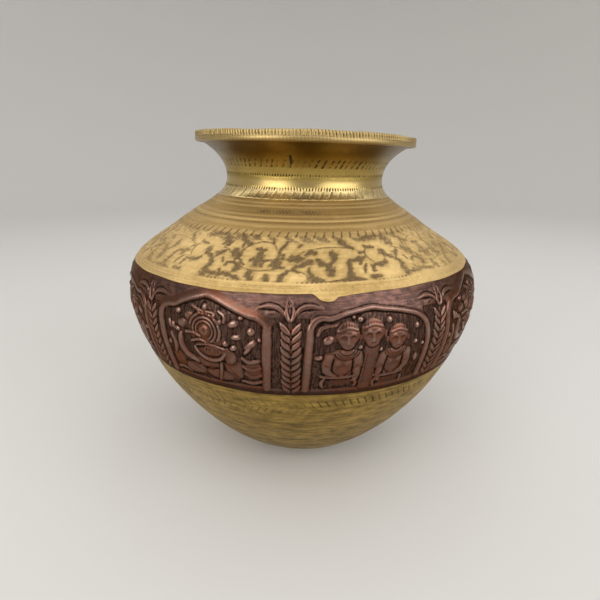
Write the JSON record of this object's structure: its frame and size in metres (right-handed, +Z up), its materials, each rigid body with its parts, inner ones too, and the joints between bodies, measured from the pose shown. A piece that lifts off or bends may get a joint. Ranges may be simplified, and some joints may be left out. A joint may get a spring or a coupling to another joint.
{
  "type": "brass lota with copper belt",
  "caption": "Round-bellied brass lota with a flared collar, rim ring and a chased copper belt soldered in a rebate; holds water and stands on a small flat base.",
  "frame": {"origin": "middle of the flat that the pot stands on", "axes": "+Z up along the pot's axis, -Y towards the viewer of the picture, +X to the viewer's right"},
  "size_m": [0.1302, 0.1302, 0.1217],
  "materials": {
    "brass_body": "chased sheet brass, satin, with olive-brown patina in the chasing",
    "brass_rim": "cast ring, handled to a soft shine",
    "copper_sheet": "repousse copper, dark oxide in the ground and rubbed high points",
    "spelter": "brazing spelter, dull",
    "solder": "soft solder, dull grey"
  },
  "bodies": {
    "root": {"base_bowl": "brass_body", "shoulder_shell": "brass_body", "neck_collar": "brass_body", "rim_ring": "brass_rim", "copper_belt": "copper_sheet", "belly_braze": "spelter", "neck_braze": "spelter", "rim_braze": "spelter", "belt_upper_solder": "solder", "belt_lower_solder": "solder", "belt_seam_solder": "solder"}
  },
  "joints": []
}
